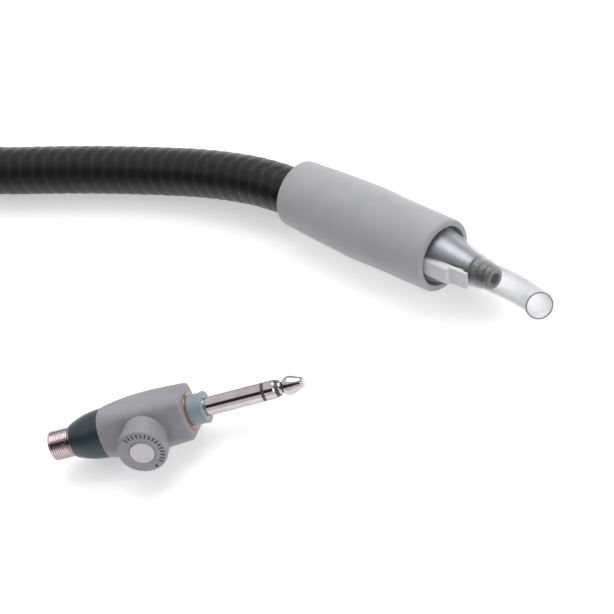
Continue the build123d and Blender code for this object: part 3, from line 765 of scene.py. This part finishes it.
@dataclass
class ClearTip(SubAssembly):
    """The thin bent tube and its collar."""

    nodes: tuple[str, ...] = ("tip_tube", "tip_collar")
    outlet_half_mm: float = 1.5
    lip_radius_mm: float = 4.3
    lip_wire_mm: float = 0.27
    lip_steps: int = 64
    wire_steps: int = 10

    def lip(self) -> None:
        """Rounds the tube's cut end with a thin ring painted grey: painted shade for the dark outline where
        light leaves the wall.
        """
        outlet = next(m for m in self.frame["record"]["mounts"] if m["name"] == "tip_outlet")
        way = Vector(outlet["axis"]).normalized()
        centre = Vector(outlet["pos_m"]) + way * (self.outlet_half_mm - self.lip_wire_mm / 2) * MM
        turn = axes_from(way)
        work = bmesh.new()
        rings = []
        for step in range(self.lip_steps):
            angle = 2 * math.pi * step / self.lip_steps
            out = turn @ Vector((0, math.cos(angle), math.sin(angle)))
            ring = []
            for part in range(self.wire_steps):
                bend = 2 * math.pi * part / self.wire_steps
                radius = self.lip_radius_mm + self.lip_wire_mm * math.cos(bend)
                point = centre + (out * radius + way * self.lip_wire_mm * math.sin(bend)) * MM
                ring.append(work.verts.new(point))
            rings.append(ring)
        for here, there in zip(rings, rings[1:] + rings[:1]):
            for part in range(self.wire_steps):
                after = (part + 1) % self.wire_steps
                work.faces.new((here[part], there[part], there[after], here[after]))
        bmesh.ops.recalc_face_normals(work, faces=work.faces)
        mesh = bpy.data.meshes.new("tip_lip")
        work.to_mesh(mesh)
        work.free()
        mesh.shade_smooth()
        # the ring's grey is painted shade for the dark outline at the clear tube's end
        mesh.materials.append(self.palette.rim_painted_shade.material())
        self.adopt(add_mesh("tip_lip", mesh), Body.TIP, Slot.CLEAR)

    def build(self) -> None:
        """Dresses the tube and its collar and rounds the cut end."""
        self.dress()
        self.lip()


@dataclass
class RibbedHose(SubAssembly):
    """The flexible hose: its lying line, and ribs that follow it."""

    length_mm: float = 598.0
    diameter_mm: float = 16.0
    rib_pitch_mm: float = 4.6
    groove_depth_mm: float = 0.14
    groove_sharpness: float = 4.0
    steps_per_rib: int = 10
    sides: int = 48
    line_order: int = 3
    line_resolution: int = 24
    sleeve_length_mm: float = 62.0
    route_mm: tuple[Triple, ...] = (
        (-40.2, 0, 0), (-69, 0, 0), (-96, -4.6, -2.15), (-122, -12.2, -4.55), (-150, -22.8, -4.55),
        (-184, -37.2, -4.55), (-222, -45, -4.55), (-264, -44, -4.55), (-302, -64, -4.55),
        (-324, -101, -4.55), (-324, -145, -4.55), (-303, -181, -4.55), (-266, -202, -4.55),
        (-217, -202, -4.55), (-165.11, -169.1, -2.4), (-125.77, -138.25, -2.4),
    )

    def centreline(self) -> tuple[bpy.types.Mesh, list[Vector]]:
        """Lays the hose's line as a NURBS spline and reads its points.

        Returns:
            The line as a mesh of edges, and its points in order.
        """
        curve = bpy.data.curves.new("hose_line", "CURVE")
        curve.dimensions = "3D"
        curve.resolution_u = self.line_resolution
        spline = curve.splines.new("NURBS")
        spline.points.add(len(self.route_mm) - 1)
        for point, offset in zip(spline.points, self.route_mm):
            point.co = (*(self.place.origin + Vector(offset) * MM), 1.0)
        spline.order_u = self.line_order
        spline.use_endpoint_u = True
        line = bpy.data.objects.new("hose_line", curve)
        bpy.context.scene.collection.objects.link(line)
        bpy.context.view_layer.update()
        mesh = bpy.data.meshes.new_from_object(line.evaluated_get(bpy.context.evaluated_depsgraph_get()))
        bpy.data.objects.remove(line)
        return mesh, [vertex.co.copy() for vertex in mesh.vertices]

    def rib_tree(self) -> Tree:
        """Builds the group that sweeps a ribbed tube along a line.

        Returns:
            The group, with its sizes in metres.
        """
        tree = Tree("hose_ribs")
        radius, pitch = tree.size("Hose Radius"), tree.size("Rib Pitch")
        depth, step = tree.size("Groove Depth"), tree.size("Step Length")
        sides = tree.size("Sides", "NodeSocketInt")
        material = tree.size("Material", "NodeSocketMaterial")

        def maths(operation: str, *values: Any) -> bpy.types.NodeSocket:
            """Adds one sum to the group.

            Args:
                operation: The sum's kind.
                values: Its numbers or sockets, in order.

            Returns:
                The result's socket.
            """
            return tree.node("ShaderNodeMath", {"operation": operation}, dict(enumerate(values))).outputs[0]

        line = tree.node("GeometryNodeMeshToCurve", inputs={0: tree.entry.outputs["Geometry"]})
        even = tree.node("GeometryNodeResampleCurve", {"mode": "LENGTH"}, {
            "Curve": line.outputs[0], "Length": step,
        })
        along = tree.node("GeometryNodeSplineParameter").outputs["Length"]
        wave = maths("COSINE", maths("MULTIPLY", maths("DIVIDE", along, pitch), 2 * math.pi))
        groove = maths("POWER", maths("MULTIPLY_ADD", wave, 0.5, 0.5), self.groove_sharpness)
        marked = tree.node("GeometryNodeStoreNamedAttribute", inputs={
            "Geometry": even.outputs[0], "Name": "groove", "Value": groove,
        })
        scale = maths("SUBTRACT", 1.0, maths("MULTIPLY", groove, maths("DIVIDE", depth, radius)))
        ring = tree.node("GeometryNodeCurvePrimitiveCircle", inputs={"Resolution": sides, "Radius": radius})
        tube = tree.node("GeometryNodeCurveToMesh", inputs={
            "Curve": marked.outputs[0], "Profile Curve": ring.outputs[0],
            "Scale": scale, "Fill Caps": True,
        })
        smooth = tree.node("GeometryNodeSetShadeSmooth", inputs={"Geometry": tube.outputs[0]})
        tree.finish(smooth.outputs[0], material)
        return tree

    def build(self) -> None:
        line, points = self.centreline()
        hose = self.rib_tree().bake(add_mesh("ribbed_hose", line), {
            "Hose Radius": self.diameter_mm / 2 * MM,
            "Rib Pitch": self.rib_pitch_mm * MM,
            "Groove Depth": self.groove_depth_mm * MM,
            "Step Length": self.rib_pitch_mm / self.steps_per_rib * MM,
            "Sides": self.sides,
            "Material": self.palette.get(Slot.HOSE),
        })
        self.adopt(hose, Body.HANDPIECE, Slot.HOSE)
        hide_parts("hose")


@dataclass
class HoseCoupling(SubAssembly):
    """The screw coupling on the hose's far end."""

    nodes: tuple[str, ...] = (
        "end_ferrule", "end_stem", "coupling_gasket", "socket_carrier", "coupling_nut",
    )


@dataclass
class ConnectorShell(SubAssembly):
    """The grey shell, its dark cover, the threaded tail and the parts at its mouth."""

    nodes: tuple[str, ...] = (
        "connector_body", "tail_cover", "threaded_stem", "stem_retainer", "pin_carrier", "contact_pins",
        "copper_ring", "plug_bush", "tail_leads", "plug_leads",
    )


@dataclass
class JackPlug(SubAssembly):
    """The three-pole plug."""

    nodes: tuple[str, ...] = (
        "plug_sleeve", "rear_insulator", "ring_contact", "front_insulator", "tip_contact", "solder_lugs",
    )


@dataclass
class Dial(SubAssembly):
    """The knob, its button and works, and the scale printed on its face."""

    nodes: tuple[str, ...] = (
        "branch_bush", "dial_shaft", "pot_wiper", "pot_base", "pot_track", "dial_knob",
        "centre_button", "button_spring", "tact_switch", "circuit_board",
    )
    face_mm: float = 15.8
    scale_radius_mm: float = 6.7
    tick_count: int = 15
    tick_length_mm: float = 1.5
    tick_width_mm: float = 0.5
    ink_mm: float = 0.03
    first_angle: float = 28.0
    sweep: float = -165.0
    dot_angle: float = -160.0
    dot_mm: float = 1.1
    dot_taper: float = 0.92
    dot_sides: int = 20

    def tick_tree(self) -> Tree:
        """Builds the group that sets ticks along an arc.

        Returns:
            The group, with its sizes in metres.
        """
        tree = Tree("scale_ticks")
        radius, count = tree.size("Scale Radius"), tree.size("Tick Count", "NodeSocketInt")
        tick = tree.size("Tick Size", "NodeSocketVector")
        start, sweep = tree.size("Start Angle"), tree.size("Sweep Angle")
        material = tree.size("Material", "NodeSocketMaterial")
        arc = tree.node("GeometryNodeCurveArc", inputs={
            "Resolution": count, "Radius": radius, "Start Angle": start, "Sweep Angle": sweep,
        })
        outward = tree.node("GeometryNodeInputPosition")
        turn = tree.node("FunctionNodeAlignRotationToVector", {"axis": "X", "pivot_axis": "Z"}, {
            "Vector": outward.outputs[0],
        })
        bar = tree.node("GeometryNodeMeshCube", inputs={"Size": tick})
        ticks = tree.node("GeometryNodeInstanceOnPoints", inputs={
            "Points": arc.outputs[0], "Instance": bar.outputs[0], "Rotation": turn.outputs[0],
        })
        tree.finish(ticks.outputs[0], material)
        return tree

    def on_face(self, piece: bpy.types.Object, lift_mm: float) -> None:
        """Moves a mesh made in the XY plane onto the knob's face.

        Args:
            piece: The piece, flat about Z.
            lift_mm: How far its middle stands above the face.
        """
        flat = Matrix(((0, 0, 1, 0), (1, 0, 0, 0), (0, 1, 0, 0), (0, 0, 0, 1)))
        out = Matrix.Translation(Vector(((self.face_mm + lift_mm) * MM, 0, 0)))
        piece.data.transform(self.place.matrix() @ out @ flat)

    def scale(self) -> None:
        """Prints the scale: even ticks and a dot."""
        ink = self.palette.ink.material()
        ticks = self.tick_tree().bake(add_mesh("dial_scale", bpy.data.meshes.new("dial_scale")), {
            "Scale Radius": self.scale_radius_mm * MM,
            "Tick Count": self.tick_count,
            "Tick Size": (self.tick_length_mm * MM, self.tick_width_mm * MM, self.ink_mm * MM),
            "Start Angle": math.radians(90 + self.first_angle),
            "Sweep Angle": math.radians(self.sweep),
            "Material": ink,
        })
        self.on_face(ticks, self.ink_mm / 2)
        self.adopt(ticks, Body.DIAL, Slot.INSULATOR)
        work = bmesh.new()
        bmesh.ops.create_cone(
            work, cap_ends=True, segments=self.dot_sides, radius1=self.dot_mm / 2 * MM,
            radius2=self.dot_mm / 2 * MM * self.dot_taper, depth=self.ink_mm * MM,
        )
        angle = math.radians(90 + self.dot_angle)
        centre = Vector((math.cos(angle), math.sin(angle), 0)) * self.scale_radius_mm * MM
        bmesh.ops.translate(work, verts=work.verts, vec=centre)
        mesh = bpy.data.meshes.new("dial_dot")
        work.to_mesh(mesh)
        work.free()
        mesh.materials.append(ink)
        dot = add_mesh("dial_dot", mesh)
        self.on_face(dot, self.ink_mm / 2)
        self.adopt(dot, Body.DIAL, Slot.INSULATOR)

    def build(self) -> None:
        """Dresses the dial's nodes and prints its scale."""
        self.dress()
        self.scale()


# ---------------------------------------------------------------- studio
@dataclass(frozen=True)
class Softbox:
    """A rectangular light: the way to it, how far off it hangs, its side in metres and its power."""

    name: str
    direction: Triple
    distance: float
    side: float
    watts: float


@dataclass
class Studio:
    """The pale floor, the soft lights and the camera."""

    mouth: Vector
    lens_mm: float = 300.0
    eye_mm: Triple = (913.73, -375.20, 1290.32)
    right: Triple = (0.74235, 0.53467, -0.40380)
    up: Triple = (-0.33722, 0.81892, 0.46438)
    back: Triple = (0.57897, -0.20856, 0.78823)
    floor_span: float = 8.0
    floor_drop_mm: float = 0.02
    floor_colour: str = "#F2F2F2"
    floor_roughness: float = 0.9
    floor_specular: float = 0.1
    floor_glow: float = 0.42
    sky_strength: float = 0.84
    gap_strength: float = 0.03
    gap_normal: Triple = (0.514, -0.656, -0.552)
    gap_band: tuple[float, float] = (0.22, 0.4)
    panels: tuple[Softbox, ...] = (
        Softbox("key_panel", (-0.2, 0.6, 0.85), 1.5, 1.2, 13.0),
        Softbox("side_panel", (0.9, 0.1, 0.6), 1.6, 0.7, 4.0),
    )

    def camera(self) -> None:
        """Sets the camera above the floor, turned as the object was seen."""
        data = bpy.data.cameras.new("camera")
        data.lens = self.lens_mm
        data.sensor_width = 36.0
        data.clip_start, data.clip_end = 0.05, 30.0
        camera = bpy.data.objects.new("camera", data)
        bpy.context.scene.collection.objects.link(camera)
        turn = Matrix((self.right, self.up, self.back)).transposed().to_4x4()
        camera.matrix_world = Matrix.Translation(self.mouth + Vector(self.eye_mm) * MM) @ turn
        bpy.context.scene.camera = camera

    def floor(self) -> None:
        """Lays a plain white floor just under the object, lit from within like a light table."""
        half, height = self.floor_span / 2, -self.floor_drop_mm * MM
        mesh = bpy.data.meshes.new("floor")
        corners = [(-half, -half, height), (half, -half, height), (half, half, height), (-half, half, height)]
        mesh.from_pydata(corners, [], [(0, 1, 2, 3)])
        paint = bpy.data.materials.new("floor_white")
        paint.use_nodes = True
        shader = paint.node_tree.nodes["Principled BSDF"]
        shader.inputs["Base Color"].default_value = srgb(self.floor_colour)
        shader.inputs["Roughness"].default_value = self.floor_roughness
        shader.inputs["Specular IOR Level"].default_value = self.floor_specular
        shader.inputs["Emission Color"].default_value = srgb("#FFFFFF")
        shader.inputs["Emission Strength"].default_value = self.floor_glow
        mesh.materials.append(paint)
        add_mesh("floor", mesh)

    def hang(self, panel: Softbox) -> None:
        """Hangs one softbox so that it faces the origin.

        Args:
            panel: The softbox.
        """
        data = bpy.data.lights.new(panel.name, "AREA")
        data.shape = "RECTANGLE"
        data.size = data.size_y = panel.side
        data.energy = panel.watts
        light = bpy.data.objects.new(panel.name, data)
        way = Vector(panel.direction).normalized()
        light.rotation_mode = "QUATERNION"
        light.rotation_quaternion = way.to_track_quat("Z", "Y")
        light.location = way * panel.distance
        bpy.context.scene.collection.objects.link(light)

    def sky(self) -> None:
        """Fills the room with pale light, with a dim gap between the two panels overhead."""
        world = bpy.data.worlds.new("studio")
        bpy.context.scene.world = world
        world.use_nodes = True
        tree = world.node_tree
        tree.nodes.clear()
        way = add_node(tree, "ShaderNodeTexCoord").outputs["Generated"]
        gap = add_node(tree, "ShaderNodeVectorMath", {"operation": "DOT_PRODUCT"}, {
            0: way, 1: self.gap_normal,
        })
        off = add_node(tree, "ShaderNodeMath", {"operation": "ABSOLUTE"}, {0: gap.outputs["Value"]})
        light = add_node(tree, "ShaderNodeMapRange", {"interpolation_type": "SMOOTHSTEP"}, {
            "Value": off.outputs[0], "From Min": self.gap_band[0], "From Max": self.gap_band[1],
            "To Min": self.gap_strength, "To Max": self.sky_strength,
        })
        back = add_node(tree, "ShaderNodeBackground", inputs={
            "Color": srgb("#FAFBFF"), "Strength": light.outputs[0],
        })
        add_node(tree, "ShaderNodeOutputWorld", inputs={"Surface": back.outputs[0]})

    def build(self) -> None:
        """Sets up the whole studio."""
        bpy.context.scene.view_settings.view_transform = "Standard"
        self.camera()
        self.floor()
        for panel in self.panels:
            self.hang(panel)
        self.sky()


def main() -> None:
    """Builds the model in order."""
    logging.basicConfig(level=logging.INFO, format="%(name)s: %(message)s")
    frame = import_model()
    low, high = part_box("grip_sleeve")
    mouth = Vector((high.x, (low.y + high.y) / 2, (low.z + high.z) / 2))
    grip = Place(mouth, Matrix.Identity(3))
    dial = joint_place(frame, "dial_turn")
    plug = Place(dial.origin, joint_place(frame, "nut_spin").turn)
    palette = Palette(grip, plug, dial)
    Studio(mouth).build()
    for kind, place in (
        (RibbedHose, grip), (HoseCoupling, plug), (Grip, grip), (Nose, grip), (ClearTip, grip),
        (ConnectorShell, plug), (JackPlug, plug), (Dial, dial),
    ):
        LOG.info("sub-assembly %s", kind.__name__)
        kind(frame, palette, place).build()


if __name__ == "__main__":
    main()
